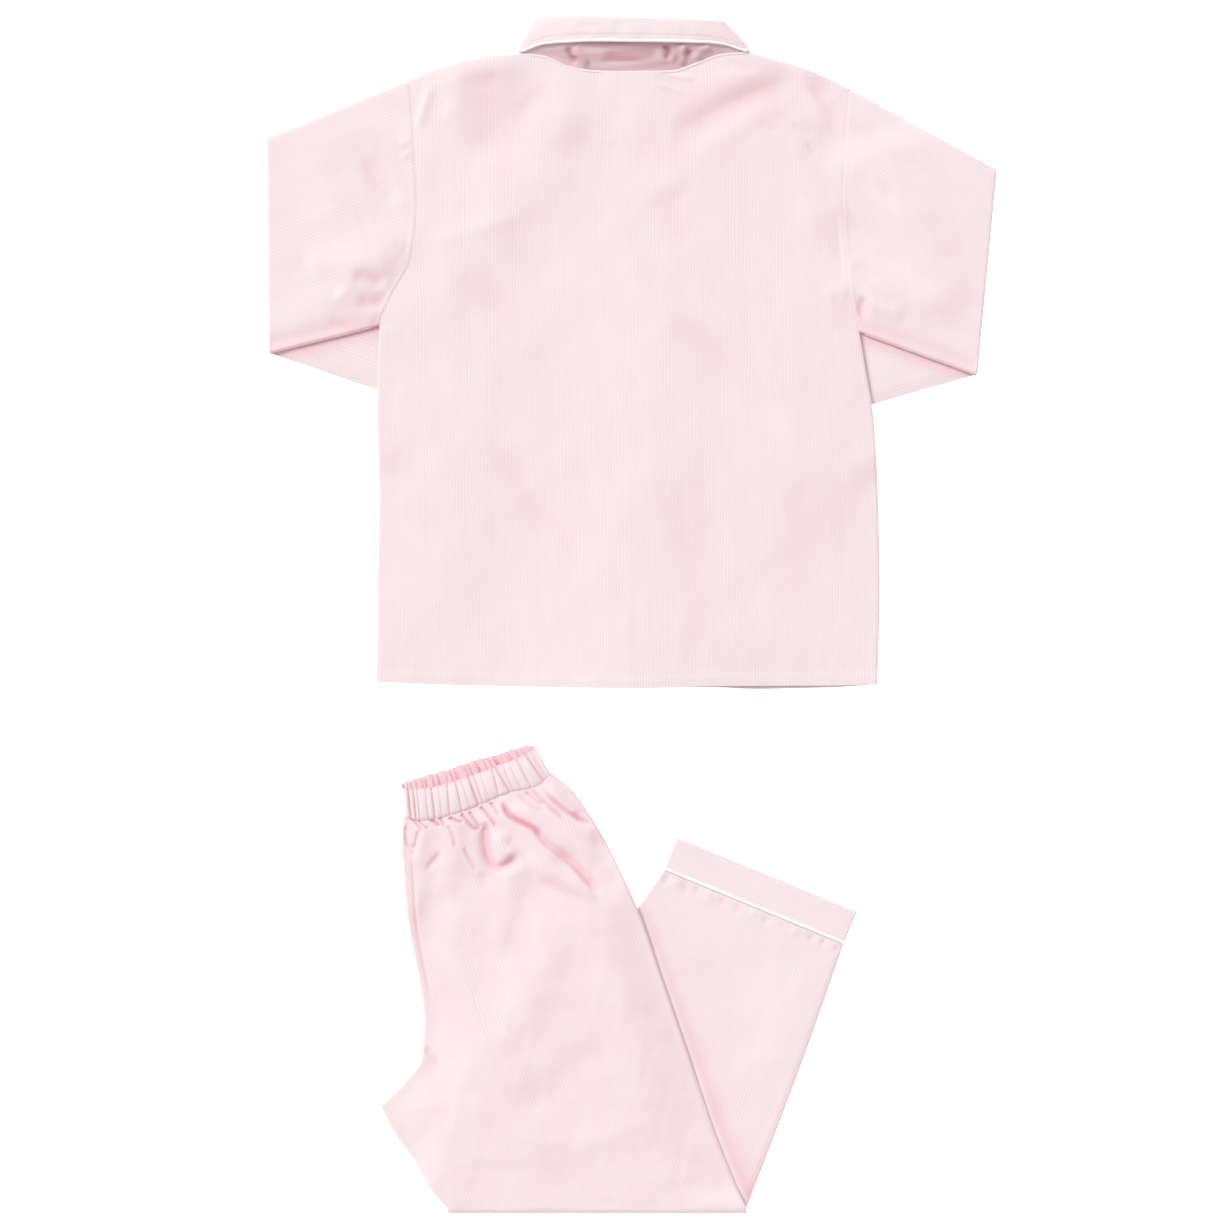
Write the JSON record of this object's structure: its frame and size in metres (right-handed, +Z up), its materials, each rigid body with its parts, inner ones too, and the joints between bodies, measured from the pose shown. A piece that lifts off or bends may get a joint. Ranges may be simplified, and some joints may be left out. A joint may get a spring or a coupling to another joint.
{
  "type": "child's cotton pyjama set, folded flat",
  "caption": "Child's pyjama set laid flat: a long-sleeved collared jacket, face down with its sleeves folded under, and folded gathered trousers.",
  "frame": {"origin": "on the surface that the set lies on, under the middle of the set's box", "axes": "+Z up from the surface; +Y from the trousers' knee fold to the jacket's collar; +X to the right as the set is looked down on, which is the jacket's own right side because it lies face down"},
  "size_m": [0.5848, 0.9574, 0.0139],
  "materials": {
    "striped_cotton": "thin plain-woven cotton with fine pale pink and white stripes, soft and matt",
    "white_piping": "white cotton piping over a thin cord, smooth and matt",
    "button_plastic": "moulded pearly plastic, polished"
  },
  "bodies": {
    "root": {"back_panel": "striped_cotton", "left_front": "striped_cotton", "right_front": "striped_cotton", "left_sleeve": "striped_cotton", "right_sleeve": "striped_cotton", "collar": "striped_cotton", "collar_piping": "white_piping", "button_1": "button_plastic", "button_2": "button_plastic", "button_3": "button_plastic", "button_4": "button_plastic", "top_leg": "striped_cotton", "bottom_leg": "striped_cotton", "inner_layers": "striped_cotton", "waistband": "striped_cotton", "bottom_leg_hem_piping": "white_piping", "bottom_leg_hem_band": "striped_cotton", "top_leg_hem_piping": "white_piping", "top_leg_hem_band": "striped_cotton"}
  },
  "joints": []
}
